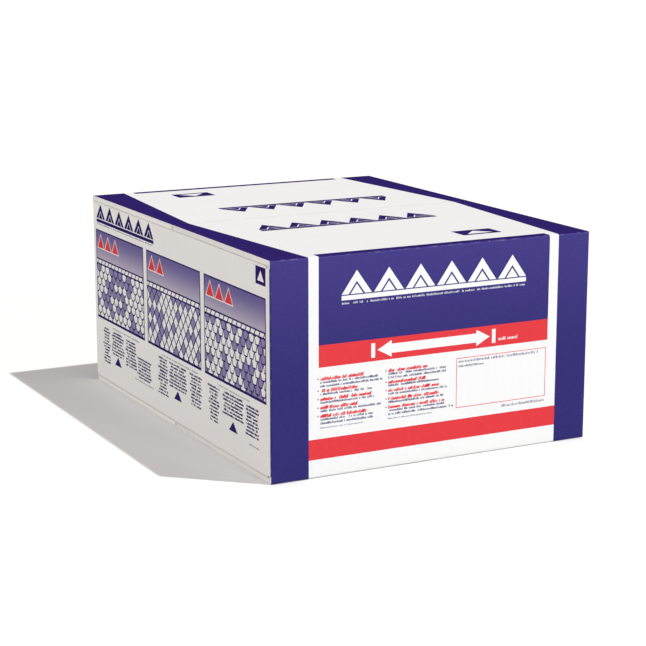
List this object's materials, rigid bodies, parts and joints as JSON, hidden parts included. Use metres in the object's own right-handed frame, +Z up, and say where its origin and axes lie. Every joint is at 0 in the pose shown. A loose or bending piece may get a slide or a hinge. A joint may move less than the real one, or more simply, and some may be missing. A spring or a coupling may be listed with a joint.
{
  "type": "carton of ridge cap shingles",
  "caption": "Closed corrugated carton with glued flaps that meet over the middle, holding a stack of asphalt ridge cap shingles with pleated butts laid alternately front and back.",
  "frame": {"origin": "on the floor, under the middle of the carton's base", "axes": "+Z up, +Y from the front end panel to the back one along the caps' length, +X to the right across the caps"},
  "size_m": [0.268, 0.346, 0.161],
  "materials": {
    "printed_board": "satin",
    "shingle_sheet": "matte"
  },
  "bodies": {
    "root": {"carton": "printed_board", "ridge_cap_01": "shingle_sheet", "ridge_cap_02": "shingle_sheet", "ridge_cap_03": "shingle_sheet", "ridge_cap_04": "shingle_sheet", "ridge_cap_05": "shingle_sheet", "ridge_cap_06": "shingle_sheet", "ridge_cap_07": "shingle_sheet", "ridge_cap_08": "shingle_sheet", "ridge_cap_09": "shingle_sheet", "ridge_cap_10": "shingle_sheet", "ridge_cap_11": "shingle_sheet", "ridge_cap_12": "shingle_sheet", "ridge_cap_13": "shingle_sheet", "ridge_cap_14": "shingle_sheet", "ridge_cap_15": "shingle_sheet", "ridge_cap_16": "shingle_sheet", "ridge_cap_17": "shingle_sheet", "ridge_cap_18": "shingle_sheet", "ridge_cap_19": "shingle_sheet", "ridge_cap_20": "shingle_sheet", "ridge_cap_21": "shingle_sheet", "ridge_cap_22": "shingle_sheet", "ridge_cap_23": "shingle_sheet", "ridge_cap_24": "shingle_sheet", "ridge_cap_25": "shingle_sheet", "ridge_cap_26": "shingle_sheet"}
  },
  "joints": []
}
